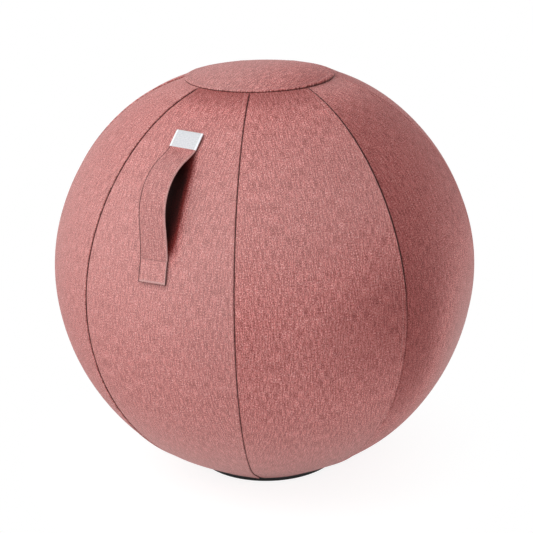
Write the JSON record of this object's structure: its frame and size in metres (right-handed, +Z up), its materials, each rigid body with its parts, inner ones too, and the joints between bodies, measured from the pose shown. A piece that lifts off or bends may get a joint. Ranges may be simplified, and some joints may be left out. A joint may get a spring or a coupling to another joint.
{
  "type": "balance ball chair",
  "caption": "Ball seat: an air-filled ball in a panelled felt cover, flatter at its top panel, with a weighted flat base, a strap handle with a bare label and a zip at the back.",
  "frame": {"origin": "centre of the flat base, on the floor", "axes": "+Z up; the handle faces -Y; the zip is beside the middle of the +Y side"},
  "size_m": [0.6498, 0.6498, 0.6347],
  "materials": {
    "cover_fabric": "dusty-rose melange felt",
    "strap_fabric": "folded and topstitched melange felt",
    "label_satin": "bare grey-white woven satin",
    "base_leather": "black grained artificial leather",
    "channel_fabric": "plain black webbing",
    "ring_steel": "drawn steel bar",
    "ball_vinyl": "grey soft vinyl film",
    "valve_plastic": "moulded white plastic",
    "zip_tape": "woven polyester tape",
    "zip_coil": "nylon coil",
    "zip_metal": "dark lacquered zinc casting"
  },
  "bodies": {
    "cover": {"cover_gore_1": "cover_fabric", "cover_gore_2": "cover_fabric", "cover_gore_3": "cover_fabric", "cover_gore_4": "cover_fabric", "cover_gore_5": "cover_fabric", "cover_gore_6": "cover_fabric", "cover_gore_7": "cover_fabric", "cover_gore_8": "cover_fabric", "crown_panel": "cover_fabric", "base_sheet": "base_leather", "ballast_ring": "ring_steel", "ring_channel": "channel_fabric", "air_ball": "ball_vinyl", "valve_seat": "valve_plastic", "valve_plug": "valve_plastic", "zip_tape_left": "zip_tape", "zip_tape_right": "zip_tape", "zip_coil_left": "zip_coil", "zip_coil_right": "zip_coil", "zip_top_stop": "zip_metal", "zip_bottom_stop": "zip_metal", "handle_upper_end": "strap_fabric", "handle_lower_end": "strap_fabric", "handle_label": "label_satin"},
    "zip_slider": {"zip_slider": "zip_metal"},
    "zip_pull": {"zip_pull": "zip_metal"},
    "handle": {"handle_loop": "strap_fabric"}
  },
  "joints": [
    {"name": "handle_swing", "type": "hinge", "parent": "cover", "child": "handle", "pos_m": [0.00323, -0.26405, 0.49112], "axis": [-0.0242, 0.5512, 0.834], "range_deg": [-12, 12], "stiffness_Nm_per_rad": 0.3},
    {"name": "zip_travel", "type": "hinge", "parent": "cover", "child": "zip_slider", "pos_m": [0, 0, 0.3165], "axis": [-0.9239, -0.3827, 0], "range_deg": [0, 75.6]},
    {"name": "pull_swing", "type": "hinge", "parent": "zip_slider", "child": "zip_pull", "pos_m": [-0.11108, 0.26816, 0.46656], "axis": [0.9239, 0.3827, 0], "range_deg": [0, 150]}
  ]
}
